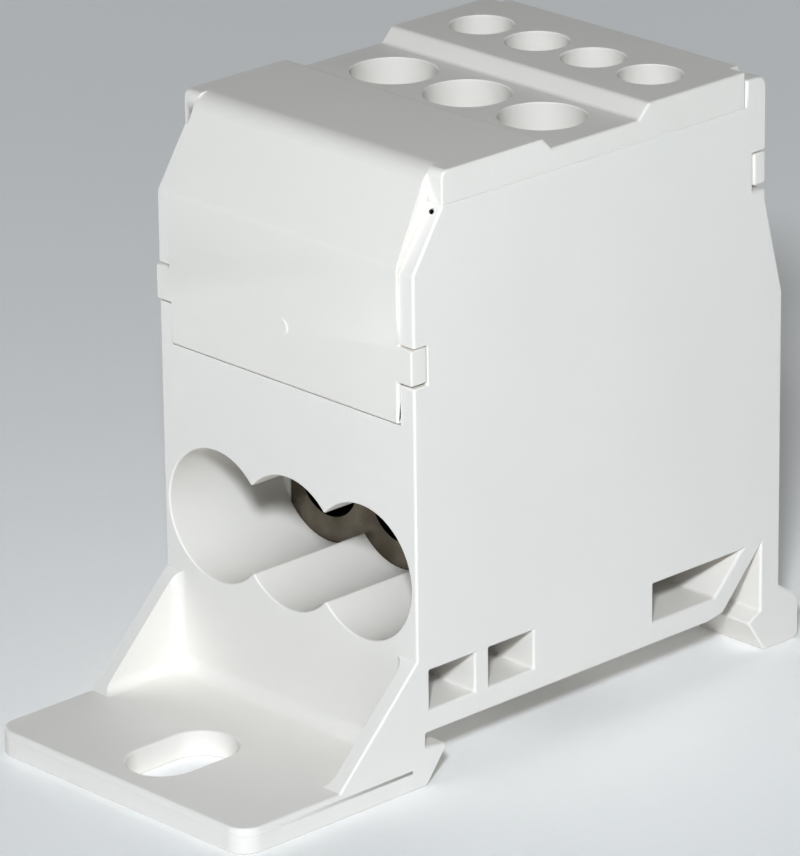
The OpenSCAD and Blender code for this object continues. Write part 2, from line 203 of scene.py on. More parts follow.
@dataclass(frozen=True)
class MouldedPolyamide:
    """Polyamide 66, injection moulded in a spark-eroded steel mould.

    The mould gives it a fine even grain and a semi-matt face, the melt's flow leaves a
    slow drift of its tone, cooling leaves faint sinks, and handling a few faint scuffs.

    Attributes:
        name: the material's name.
        colour: body colour.
        drift: its tone where the melt arrived late.
        roughness: mean surface roughness.
        uneven: how far it wavers either way.
        ior: index of refraction.
        grain_mm: size of one grain of the mould's surface.
        grain_relief: its depth in mm and its strength.
        drift_mm: size of the slow drift of tone.
        sink_mm: size of the faint sinks.
        sink_relief: their depth in mm and their strength.
        scuff_mm: spacing of the scuffs.
        scuff_turn: their turn about X, Y and Z in radians.
        scuff_squeeze: their narrowing along each axis.
        scuff_range: noise at which a scuff begins, and is full.
        scuff_pale: how much a full one whitens the plastic.
        scuff_gloss: how much smoother it leaves it.
    """

    name: str
    colour: str
    drift: str
    roughness: float = 0.52
    uneven: float = 0.04
    ior: float = 1.53
    grain_mm: float = 0.28
    grain_relief: Pair = (0.012, 0.22)
    drift_mm: float = 16.0
    sink_mm: float = 5.5
    sink_relief: Pair = (0.05, 0.25)
    scuff_mm: float = 9.6
    scuff_turn: Triple = (0.4, 0.9, 0.5)
    scuff_squeeze: Triple = (1.0, 14.0, 3.0)
    scuff_range: Pair = (0.62, 0.74)
    scuff_pale: float = 0.1
    scuff_gloss: float = 0.08

    def build(self) -> Material:
        """Builds the material.

        Returns:
            The finished material.
        """
        mat, tree, shader, place = new_material(self.name)
        drift = remap(tree, noise(tree, place, self.drift_mm, 3.0), MOST_NOISE, UNIT)
        body = blend_colours(tree, drift, self.drift, self.colour)
        grain = noise(tree, place, self.grain_mm, 2.0, 0.6)
        sinks = noise(tree, place, self.sink_mm, 1.0)
        streaks = add_node(tree, "ShaderNodeMapping", {},
                           {"Vector": place, "Rotation": self.scuff_turn,
                            "Scale": self.scuff_squeeze}).outputs["Vector"]
        scuffs = remap(tree, noise(tree, streaks, self.scuff_mm, 5.0, 0.7),
                       self.scuff_range, UNIT)
        pale = remap(tree, scuffs, UNIT, (0.0, self.scuff_pale))
        scuffed = blend_colours(tree, pale, body, "#FFFFFF")
        even = remap(tree, grain, MOST_NOISE,
                     (self.roughness - self.uneven, self.roughness + self.uneven))
        rubbed = add_node(tree, "ShaderNodeMath", {"operation": "MULTIPLY_ADD"},
                          {0: scuffs, 1: -self.scuff_gloss, 2: even}).outputs["Value"]
        relief = stacked_bump(tree, (sinks, *self.sink_relief),
                              (grain, *self.grain_relief))
        set_inputs(tree, shader, {"Base Color": scuffed, "Roughness": rubbed,
                                  "Normal": relief, "IOR": self.ior})
        return mat


@dataclass(frozen=True)
class PlatedMetal:
    """A plated metal whose tone drifts between two colours over fine tool lines.

    Attributes:
        name: the material's name.
        low: colour of the plating.
        high: colour of its patches.
        patch_mm: size of the patches.
        patch_detail: octaves of their finer forms.
        line_mm: spacing of the tool lines.
        line_noise: octaves of their finer forms, and the strength of these.
        line_stretch: their scale along each axis.
        line_relief: their depth in mm and their strength.
        gloss: roughness between and in the patches, or the lines.
        gloss_in_lines: whether it follows the lines, not the patches.
    """

    name: str
    low: str
    high: str
    patch_mm: float
    patch_detail: float
    line_mm: float
    line_noise: Pair
    line_stretch: Triple
    line_relief: Pair
    gloss: Pair
    gloss_in_lines: bool

    def build(self) -> Material:
        """Builds the material.

        Returns:
            The finished material.
        """
        mat, tree, shader, place = new_material(self.name)
        patches = remap(tree, noise(tree, place, self.patch_mm, self.patch_detail),
                        MID_NOISE, UNIT)
        colour = blend_colours(tree, patches, self.low, self.high)
        stretched = add_node(tree, "ShaderNodeMapping", {},
                             {"Vector": place, "Scale": self.line_stretch})
        lines = noise(tree, stretched.outputs["Vector"], self.line_mm, *self.line_noise)
        guide, span = (lines, MOST_NOISE) if self.gloss_in_lines else (patches, UNIT)
        set_inputs(tree, shader, {
            "Base Color": colour, "Roughness": remap(tree, guide, span, self.gloss),
            "Metallic": 1.0, "Normal": stacked_bump(tree, (lines, *self.line_relief))})
        return mat


# Tin gives the drawn bar a soft shine with a warm cast. Both colours are painted shade,
# much darker than tin, so that the bar deep in the cable entries looks shadowed.
# Drawing leaves fine lines along the bar's width, and storage a few dull clouds.
TIN_BRASS_PAINTED_SHADE = PlatedMetal("tin_brass_painted_shade", "#8E877C", "#6C6458", 4.0, 4.0, 0.25,
                           (2.0, 0.7), (0.02, 1.0, 1.0), (0.01, 0.5), (0.24, 0.4),
                           gloss_in_lines=False)
# Zinc gives the turned screws a cool silver shine, blue to faintly yellow from screw to
# screw. Turning leaves fine rings round the axis.
ZINC_STEEL = PlatedMetal("zinc_plated_steel", "#C3C8CE", "#CFC9BB", 3.0, 2.0, 0.12,
                         (1.0, 0.5), (0.1, 0.1, 1.0), (0.006, 0.4), (0.2, 0.34),
                         gloss_in_lines=True)


@dataclass(frozen=True)
class StudioPaper:
    """White paper on a lit table, which throws light up at whatever stands on it.

    Attributes:
        name: the material's name.
        colour: the paper's colour.
        fibre: colour of its fibres.
        light: how much light comes through it.
        roughness: its surface roughness.
        fibre_mm: size of its fibres.
    """

    name: str
    colour: str = "#F4F4F3"
    fibre: str = "#F1F1F0"
    light: float = 0.1
    roughness: float = 0.9
    fibre_mm: float = 0.8

    def build(self) -> Material:
        """Builds the material.

        Returns:
            The finished material.
        """
        mat, tree, shader, place = new_material(self.name)
        fibres = noise(tree, place, self.fibre_mm, 3.0)
        set_inputs(tree, shader, {
            "Base Color": blend_colours(tree, fibres, self.fibre, self.colour),
            "Roughness": self.roughness, "Emission Color": linear("#FFFFFF"),
            "Emission Strength": self.light})
        return mat


# ---- mesh helpers


def link_object(name: str, mesh: Mesh) -> Object:
    """Puts a mesh into the scene as an object at the origin.

    Args:
        name: the object's name.
        mesh: its mesh, already in place.

    Returns:
        The new object.
    """
    piece = bpy.data.objects.new(name, mesh)
    bpy.context.scene.collection.objects.link(piece)
    return piece


def grid_mesh(name: str, points: Array, closed: bool) -> Mesh:
    """Skins a grid of points with quads.

    A quad joins point (i, j) to (i, j + 1), (i + 1, j + 1) and (i + 1, j). In a closed
    body each row is a ring, and the first and last are filled with one face each.

    Args:
        name: the mesh's name.
        points: array of rows by columns by three coordinates.
        closed: whether the grid goes round a closed body.

    Returns:
        The mesh.
    """
    rows, columns = points.shape[:2]
    number = np.arange(rows * columns).reshape(rows, columns)
    right = np.roll(number, -1, axis=1)
    span = columns if closed else columns - 1
    quads = np.stack([number[:-1, :span], right[:-1, :span], right[1:, :span],
                      number[1:, :span]], axis=-1).reshape(-1, 4)
    faces = quads.tolist()
    if closed:
        faces += [number[0, ::-1].tolist(), number[-1].tolist()]
    mesh = bpy.data.meshes.new(name)
    mesh.from_pydata(points.reshape(-1, 3), [], faces)
    mesh.update()
    return mesh


@contextmanager
def editing(mesh: Mesh) -> Iterator[Shape]:
    """Opens a mesh for editing, and writes it back afterwards.

    Args:
        mesh: the mesh, changed in place.

    Yields:
        The mesh in its editable form.
    """
    shape = bmesh.new()
    shape.from_mesh(mesh)
    yield shape
    shape.to_mesh(mesh)
    shape.free()


def shade_smooth(mesh: Mesh) -> None:
    """Shades every face of a mesh smoothly."""
    mesh.polygons.foreach_set("use_smooth", [True] * len(mesh.polygons))


def add_modifier(piece: Object, name: str, kind: str, **settings: object) -> None:
    """Adds a modifier with its settings to a piece."""
    modifier = piece.modifiers.new(name, kind)
    for key, value in settings.items():
        setattr(modifier, key, value)


def subtract(piece: Object, cutter: Object) -> None:
    """Cuts one body out of a piece, for good, and removes the cutter.

    Args:
        piece: the piece, changed in place.
        cutter: the body that is cut away.
    """
    add_modifier(piece, "cut", "BOOLEAN", object=cutter, solver="EXACT")
    ready = piece.evaluated_get(bpy.context.evaluated_depsgraph_get())
    done = bpy.data.meshes.new_from_object(ready)
    done.name = piece.data.name
    piece.modifiers.clear()
    piece.data = done
    bpy.data.objects.remove(cutter)


def closed_body(name: str, points: Array) -> Object:
    """Builds a closed body from rings of points.

    Args:
        name: the body's name.
        points: its rings in metres, as an array of rings by points by three.

    Returns:
        The body, with its faces outwards.
    """
    mesh = grid_mesh(name, points, closed=True)
    with editing(mesh) as shape:
        bmesh.ops.recalc_face_normals(shape, faces=shape.faces)
    return link_object(name, mesh)


def dress(piece: Object, material: Material) -> None:
    """Gives a piece its one finish, and logs it."""
    piece.data.materials.clear()
    piece.data.materials.append(material)
    log.info("%s: %d faces, %s", piece.name, len(piece.data.polygons), material.name)


def declare(piece: Object, material: Material, body: str, slot: str,
            *nodes: str) -> None:
    """Dresses a piece, hides the CAD nodes that it stands for and ties it to the body
    that it moves with.

    Args:
        piece: the piece.
        material: its finish.
        body: the CAD body that it moves with.
        slot: the record's material slot; not used.
        nodes: the CAD nodes that it stands for.
    """
    dress(piece, material)
    if nodes:
        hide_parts(*nodes)
    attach(piece, body)


# ---- eased edges


@dataclass(frozen=True)
class CrispZone:
    """A box in which edges are rounded less, such as along a close joint.

    Attributes:
        low_mm: its lowest corner, with X counted from the middle to both sides.
        high_mm: its highest corner.
        width_mm: the most that an edge inside it is rounded.
    """

    low_mm: Triple
    high_mm: Triple
    width_mm: float

    def holds(self, edge: Edge) -> bool:
        """Tells whether both ends of an edge are inside.

        Args:
            edge: the edge.

        Returns:
            True if they are.
        """
        ends = np.array([vert.co for vert in edge.verts]) / MM
        ends[:, 0] = np.abs(ends[:, 0])
        return bool(np.all(ends >= self.low_mm) and np.all(ends <= self.high_mm))


@dataclass
class EdgeEasing:
    """Rounds the sharp edges of a moulding, as every mould leaves them.

    Each edge gets as much of the full width as its faces have room for. The room is
    worked out in each plane region: how far the region goes on square to the edge, and
    how fast the edge would shrink at its corners. A run of edges that turns gently
    takes the width of its narrowest edge, so that the rounding doesn't waver.

    Attributes:
        width_mm: full width of the rounding.
        least_mm: a run with less room stays sharp.
        sharp_deg: an edge turns at least this much to be rounded.
        flat_deg: faces that turn less than this against each other lie in one plane.
        run_deg: edges that turn less against each other are one run.
        segments: faces across a rounding.
        zones: where edges are rounded less.
        corner_share: how much of its length an edge gives up at a sharp corner.
        plain_share: how much of a face may be taken up where it ends at a plain edge.
        facing_share: the same where it ends at a sharp edge.
        turns: the angle in each edge of the mesh, measured by prepare.
    """

    width_mm: float = 0.22
    least_mm: float = 0.04
    sharp_deg: float = 18.0
    flat_deg: float = 0.4
    run_deg: float = 30.0
    segments: int = 3
    zones: tuple[CrispZone, ...] = ()
    corner_share: float = 0.4
    plain_share: float = 0.8
    facing_share: float = 0.42
    turns: Array = field(default_factory=lambda: np.zeros(0), repr=False)

    def prepare(self, shape: Shape) -> None:
        """Joins triangles, makes plane faces whole and measures every edge's turn.

        Args:
            shape: the mesh, changed in place.
        """
        bmesh.ops.remove_doubles(shape, verts=shape.verts, dist=SAME_POINT)
        bmesh.ops.dissolve_limit(shape, angle_limit=math.radians(self.flat_deg),
                                 verts=shape.verts, edges=shape.edges)
        for elements in (shape.verts, shape.edges, shape.faces):
            elements.index_update()
            elements.ensure_lookup_table()
        self.turns = np.array([edge.calc_face_angle(0.0) for edge in shape.edges])

    def sharp(self) -> Array:
        """Tells for each edge whether it is sharp."""
        return self.turns > math.radians(self.sharp_deg)

    def flat(self) -> Array:
        """Tells for each edge whether its faces lie in one plane."""
        return self.turns < math.radians(self.flat_deg)

    @staticmethod
    def groups(count: int, pairs: list[tuple[int, int]]) -> Array:
        """Numbers the groups that pairs of items join, by spreading the lowest number.

        Args:
            count: how many items there are.
            pairs: items that belong together.

        Returns:
            The group of each item.
        """
        group = np.arange(count)
        if not pairs:
            return group
        left, right = np.array(pairs).T
        while True:
            low = np.minimum(group[left], group[right])
            before = group.copy()
            np.minimum.at(group, left, low)
            np.minimum.at(group, right, low)
            if np.array_equal(before, group):
                return group

    def regions(self, shape: Shape) -> list[list[Face]]:
        """Collects the faces of each plane region.

        Args:
            shape: the prepared mesh.

        Returns:
            The regions, each as its faces.
        """
        flat = self.flat()
        pairs = [tuple(face.index for face in edge.link_faces)
                 for edge in shape.edges if flat[edge.index]]
        group = self.groups(len(shape.faces), pairs)
        found: dict[int, list[Face]] = {}
        for face in shape.faces:
            found.setdefault(int(group[face.index]), []).append(face)
        return list(found.values())

    def region_room(self, faces: list[Face], room: Array) -> None:
        """Narrows each border edge's room to what one plane region gives it.

        Args:
            faces: the region's faces.
            room: room of every edge in metres, changed in place.
        """
        most_turn = 3.0
        sharp, flat = self.sharp(), self.flat()
        normal = faces[0].normal
        axis_u = normal.orthogonal().normalized()
        axis_v = normal.cross(axis_u)
        border = [loop for face in faces for loop in face.loops
                  if not flat[loop.edge.index]]
        if len(border) < 3:
            return
        near = [loop.vert for loop in border]
        far = [loop.link_loop_next.vert for loop in border]
        start, end = (np.array([(vert.co.dot(axis_u), vert.co.dot(axis_v))
                                for vert in verts]) for verts in (near, far))
        step = end - start
        length = np.linalg.norm(step, axis=1)
        along = step / length[:, None]
        edge = np.array([loop.edge.index for loop in border])
        for place, after, turn in self.corners(near, far, along):
            half, lean = min(turn, most_turn) / 2, min(math.pi - turn, math.pi / 2)
            for one, other in ((place, after), (after, place)):
                if not sharp[edge[one]]:
                    continue
                if sharp[edge[other]]:
                    most = self.corner_share * length[one] / math.tan(half)
                else:
                    most = self.plain_share * length[other] * math.sin(lean)
                room[edge[one]] = min(room[edge[one]], most)
        for place in np.flatnonzero(sharp[edge]):
            reach = self.reach(start, step, along[place], place)
            opposite = int(np.argmin(reach))
            share = self.facing_share if sharp[edge[opposite]] else self.plain_share
            room[edge[place]] = min(room[edge[place]], share * reach[opposite])

    @staticmethod
    def corners(near: list[Vert], far: list[Vert], along: Array
                ) -> Iterator[tuple[int, int, float]]:
        """Finds the outward corners of a region's border.

        Args:
            near: first point of each border edge.
            far: last point of each border edge.
            along: direction of each border edge.

        Yields:
            The edge before the corner, the edge after it, and the turn in radians.
        """
        least_turn = 0.02
        leaving: dict[int, int] = {}
        for place, vert in enumerate(near):
            leaving.setdefault(vert.index, place)
        for place, vert in enumerate(far):
            after = leaving.get(vert.index)
            if after is None:
                continue
            one, other = along[place], along[after]
            turn = math.atan2(one[0] * other[1] - one[1] * other[0], float(one @ other))
            if turn >= least_turn:
                yield place, after, turn

    @staticmethod
    def reach(start: Array, step: Array, way: Array, own: int) -> Array:
        """Measures how far one edge's middle is from each border edge, square to it.

        The ray point + t * ray meets the edge start + s * step where both sides are
        equal, which two cross products solve for t and s.

        Args:
            start: first point of each edge.
            step: each edge as a vector.
            way: direction of the edge that the ray starts on.
            own: the number of that edge.

        Returns:
            The distance to each edge, or 1 m where it isn't met.
        """
        point, ray = start[own] + step[own] / 2, np.array([-way[1], way[0]])
        parallel, ahead, spare = 1e-15, 1e-7, 1e-6
        cross = ray[0] * step[:, 1] - ray[1] * step[:, 0]
        crossing = np.abs(cross) >= parallel
        safe = np.where(crossing, cross, 1.0)
        apart = start - point
        t = (apart[:, 0] * step[:, 1] - apart[:, 1] * step[:, 0]) / safe
        s = (apart[:, 0] * ray[1] - apart[:, 1] * ray[0]) / safe
        met = crossing & (t > ahead) & (s >= -spare) & (s <= 1 + spare)
        met[own] = False
        return np.where(met, t, 1.0)

    def runs(self, shape: Shape) -> Array:
        """Numbers the runs of sharp edges that turn gently.

        Args:
            shape: the prepared mesh.

        Returns:
            The run of each edge.
        """
        sharp = self.sharp()
        straight = -math.cos(math.radians(self.run_deg))
        pairs = []
        for vert in shape.verts:
            arms = [(edge.index, (edge.other_vert(vert).co - vert.co).normalized())
                    for edge in vert.link_edges if sharp[edge.index]]
            pairs += [(one, other) for (one, way), (other, other_way)
                      in itertools.combinations(arms, 2)
                      if way.dot(other_way) < straight]
        return self.groups(len(shape.edges), pairs)

    def widths(self, shape: Shape) -> Array:
        """Works out how wide each edge is rounded.

        Args:
            shape: the prepared mesh.

        Returns:
            The widths in metres, 0 for an edge that stays as it is.
        """
        room = np.full(len(shape.edges), self.width_mm * MM)
        for faces in self.regions(shape):
            self.region_room(faces, room)
        for zone in self.zones:
            inside = [edge.index for edge in shape.edges if zone.holds(edge)]
            room[inside] = np.minimum(room[inside], zone.width_mm * MM)
        run, sharp = self.runs(shape), self.sharp()
        narrowest = np.full(len(room), self.width_mm * MM)
        np.minimum.at(narrowest, run[sharp], room[sharp])
        width = np.where(sharp, narrowest[run], 0.0)
        return np.where(width >= self.least_mm * MM, width, 0.0)

    def apply(self, piece: Object) -> None:
        """Weighs the edges of a piece and adds the modifier that rounds them.

        Args:
            piece: the moulding, a copy of its CAD node's mesh.
        """
        with editing(piece.data) as shape:
            self.prepare(shape)
            width, sharp = self.widths(shape), self.sharp()
            weight = shape.edges.layers.float.new("bevel_weight_edge")
            for edge in shape.edges:
                rounded = width[edge.index] > 0
                if rounded:
                    edge[weight] = width[edge.index] / (self.width_mm * MM)
                edge.smooth = bool(rounded or not sharp[edge.index])
        shade_smooth(piece.data)
        add_modifier(piece, "eased edges", "BEVEL", limit_method="WEIGHT",
                     width=self.width_mm * MM, segments=self.segments,
                     use_clamp_overlap=False, loop_slide=False)
        add_modifier(piece, "flat faces stay flat", "WEIGHTED_NORMAL", mode="FACE_AREA",
                     weight=100, keep_sharp=True)



# ---- sub-assemblies


@dataclass
class Moulding:
    """One moulded part of the housing, with its CAD shape and eased edges.

    Attributes:
        node: the CAD node.
        slot: the record's material slot.
        finish: what it is moulded from.
        easing: how its edges are rounded.
    """

    node: str
    slot: str
    finish: MouldedPolyamide
    easing: EdgeEasing = field(default_factory=EdgeEasing)

    def refine(self, piece: Object) -> None:
        """Gives the piece what its CAD node leaves out, which here is nothing."""

    def build(self) -> Object:
        """Builds and dresses the moulding.

        Returns:
            The new piece.
        """
        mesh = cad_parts[self.node].data.copy()
        mesh.name = self.node + "_moulding"
        for layer in list(mesh.uv_layers):
            mesh.uv_layers.remove(layer)
        with editing(mesh) as shape:
            bmesh.ops.remove_doubles(shape, verts=shape.verts, dist=SAME_POINT)
        piece = link_object(mesh.name, mesh)
        self.refine(piece)
        self.easing.apply(piece)
        declare(piece, self.finish.build(), HOUSING, self.slot, self.node)
        return piece


@dataclass
class Base(Moulding):
    """The base housing, with its two pin holes open to the dark inside.

    Attributes:
        pin_mm: middle of the right pin hole's mouth.
        pin_r_mm: its radius.
        inward: direction of its inner part, from the mouth to the inside.
        outside_mm: how far the cutter stands out of the mouth.
        inside_mm: how far it goes in.
        columns: points round the cutter.
    """

    pin_mm: Triple = (13.0, 2.62, 44.08)
    pin_r_mm: float = 0.19
    inward: Triple = (-0.68, 0.64, -0.36)
    outside_mm: float = 0.15
    inside_mm: float = 2.0
    columns: int = 24

    def refine(self, piece: Object) -> None:
        """Opens the pin holes."""
        for side in (1.0, -1.0):
            subtract(piece, self.pin_cutter(side))

    def pin_cutter(self, side: float) -> Object:
        """Builds the rod that opens one pin hole.

        A point of the rod is the mouth's middle plus a length along the hole plus the
        radius times cos a and sin a along two directions square to it.

        Args:
            side: 1 for the right hole, -1 for the left one.

        Returns:
            The cutter.
        """
        flip = np.array([side, 1.0, 1.0])
        along = np.array(Vector(self.inward).normalized()) * flip
        across = np.cross(along, (0.0, 0.0, 1.0))
        across /= np.linalg.norm(across)
        upward = np.cross(across, along)
        angle = np.linspace(0, 2 * np.pi, self.columns, endpoint=False)[:, None]
        ring = self.pin_r_mm * (np.cos(angle) * across + np.sin(angle) * upward)
        ends = np.array([-self.outside_mm, self.inside_mm])
        middle = np.array(self.pin_mm) * flip + ends[:, None] * along
        return closed_body("pin_cutter", (middle[:, None, :] + ring[None, :, :]) * MM)


@dataclass
class Cover(Moulding):
    """The clip-on cover, with crisp driver holes and a soft front edge.

    Attributes:
        hole_rows: number, pitch, Y and radius of each row of driver holes, in mm.
        lead_in_mm: how far the lead-ins reach past the bores, or a little more.
        bore_top_mm: level above which the bores open into their lead-ins.
        corner_mm: place (Y, Z) of the corner between the slope and the top.
        slope_deg: lean of the slope.
        soft_mm: rounding of that corner between the side walls.
        panel_mm: half the width of the panels.
        closed_mm: how much the panels fill of the gap beside them.
        lug_mm: level of a front lug's underside.
        lug_from_mm: X past which and Y before which the lugs lie.
        lug_drop_mm: how much lower they are on the real moulding.
        near_mm: a point this near to a plane lies in it.
    """

    hole_rows: tuple[tuple[int, float, float, float], ...] = (
        (3, 7.9, 18.9, 3.35), (4, 5.96, 29.2, 2.5))
    lead_in_mm: float = 0.5
    bore_top_mm: float = 45.95
    corner_mm: Pair = (2.95, 47.2)
    slope_deg: float = 25.0
    soft_mm: float = 2.0
    panel_mm: float = 12.13
    closed_mm: float = 0.08
    lug_mm: float = 31.8
    lug_from_mm: Pair = (12.0, 1.6)
    lug_drop_mm: float = 0.22
    near_mm: float = 0.02

    def refine(self, piece: Object) -> None:
        """Straightens the holes' rims, closes the panels up and softens the front edge.

        Args:
            piece: the cover, changed in place.
        """
        mesh = piece.data
        flat = np.empty(len(mesh.vertices) * 3)
        mesh.vertices.foreach_get("co", flat)
        points = flat.reshape(-1, 3) / MM
        self.straighten_rims(points)
        x, y, z = points.T
        side = np.abs(np.abs(x) - self.panel_mm) < self.near_mm
        lug = ((np.abs(z - self.lug_mm) < self.near_mm)
               & (np.abs(x) > self.lug_from_mm[0]) & (y < self.lug_from_mm[1]))
        x[side] += np.sign(x[side]) * self.closed_mm
        z[lug] -= self.lug_drop_mm
        mesh.vertices.foreach_set("co", (points * MM).ravel())
        mesh.update()
        subtract(piece, self.front_cutter())

    def straighten_rims(self, points: Array) -> None:
        """Moves the rim points of each driver hole onto its bore.

        A point of the top between the bore and the lead-in's outer edge is put at the
        bore's radius in its own direction from the hole's middle.

        Args:
            points: array of n by 3 in millimetres, changed in place.
        """
        top = points[:, 2] > self.bore_top_mm
        for count, pitch, y, radius in self.hole_rows:
            for number in range(count):
                middle = np.array([(number - (count - 1) / 2) * pitch, y])
                away = points[:, :2] - middle
                far = np.linalg.norm(away, axis=1)
                rim = (top & (far > radius + self.near_mm)
                       & (far < radius + self.lead_in_mm))
                points[rim, :2] = middle + away[rim] / far[rim, None] * radius

    def front_cutter(self) -> Object:
        """Builds the body that is cut off the front edge between the side walls.

        Its section is the space between the corner and an arc that touches the top and
        the slope: the arc's middle lies on the bisector, its ends at the radius over
        the tangent of half the corner's angle. The rest keeps clear of the cover.

        Returns:
            The cutter.
        """
        corner = np.array(self.corner_mm)
        lean = math.radians(self.slope_deg)
        down = np.array([-math.sin(lean), -math.cos(lean)])
        back = np.array([1.0, 0.0])
        half = math.acos(float(down @ back)) / 2
        bisector = (down + back) / np.linalg.norm(down + back)
        centre = corner + bisector * self.soft_mm / math.sin(half)
        touch = corner + down * self.soft_mm / math.tan(half)
        first = math.atan2(*(touch - centre)[::-1])
        angle = np.linspace(first, math.pi / 2, 13)
        arc = centre + self.soft_mm * np.stack([np.cos(angle), np.sin(angle)], axis=1)
        out = np.array([-math.cos(lean), math.sin(lean)])
        outside = [arc[-1] + (0, 1), corner + (-1.5, 1.5), arc[0] + out]
        section = np.vstack([arc, outside])
        side = (self.panel_mm + self.closed_mm) * np.array([-1.0, 1.0])
        points = np.stack([np.column_stack([np.full(len(section), x), section])
                           for x in side])
        return closed_body("front_cutter", points * MM)


@dataclass
class FootSeam:
    """The fine bead that the two halves of the mould leave round the foot's edge.

    Attributes:
        below_top_mm: distance of the bead below the foot's top face.
        foot_t_mm: thickness of the foot.
        corner_mm: corner radius of the foot.
        back_mm: where the bead ends, in front of the front wall.
        proud_mm: how far it stands out.
        wide_mm: its height.
        sunk_mm: how far its flat side lies inside the foot.
    """

    below_top_mm: float = 0.55
    foot_t_mm: float = 2.1
    corner_mm: float = 1.75
    back_mm: float = 0.6
    proud_mm: float = 0.025
    wide_mm: float = 0.26
    sunk_mm: float = 0.02

    def path(self) -> tuple[Array, Array]:
        """Works out the foot's outline and its outward direction.

        The outline goes forward along one side, round both front corners and back
        along the other side. A corner point is the corner's centre plus its radius
        times the direction.

        Returns:
            Points and directions, each as an array of n by 2.
        """
        low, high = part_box("base_housing")
        r = self.corner_mm * MM
        side, front, back = high[0], low[1], -self.back_mm * MM
        angle = np.linspace(0, -np.pi / 2, 13)
        turn = np.stack([np.cos(angle), np.sin(angle)], axis=1)
        right = np.array([side - r, front + r]) + r * turn
        right = np.vstack([[side, back], right])
        out = np.vstack([[1.0, 0.0], turn])
        flip = np.array([-1.0, 1.0])
        return (np.vstack([right, right[::-1] * flip]),
                np.vstack([out, out[::-1] * flip]))

    def build(self, material: Material) -> None:
        """Builds and dresses the bead.

        Its section is a half ellipse with its flat side just inside the foot: at angle
        a it stands proud by cos a and is higher by sin a times half its height.

        Args:
            material: the base's plastic.
        """
        points, out = self.path()
        a = np.linspace(-np.pi / 2, np.pi / 2, 9)
        inside = self.sunk_mm * MM
        stand = np.concatenate([[-inside], self.proud_mm * MM * np.cos(a), [-inside]])
        level = (self.foot_t_mm - self.below_top_mm + self.wide_mm / 2
                 * np.concatenate([[-1.0], np.sin(a), [1.0]])) * MM
        flat = points[:, None, :] + out[:, None, :] * stand[None, :, None]
        height = np.broadcast_to(level, flat.shape[:2])
        piece = closed_body("foot_seam", np.dstack([flat, height]))
        shade_smooth(piece.data)
        declare(piece, material, HOUSING, "housing_plastic")


@dataclass
class ConductorBar:
    """The drilled and tapped bar that joins the line side to the load side.

    Attributes:
        node: the CAD node, which keeps its shape.
        finish: its plating, darkened as painted shade.
    """

    node: str = "conductor_bar"
    finish: PlatedMetal = TIN_BRASS_PAINTED_SHADE

    def build(self) -> None:
        """Dresses the CAD node."""
        dress(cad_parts[self.node], self.finish.build())


class Drive(Enum):
    """What turns a screw."""

    HEXAGON = "hexagon key"
    SLOT = "flat blade"


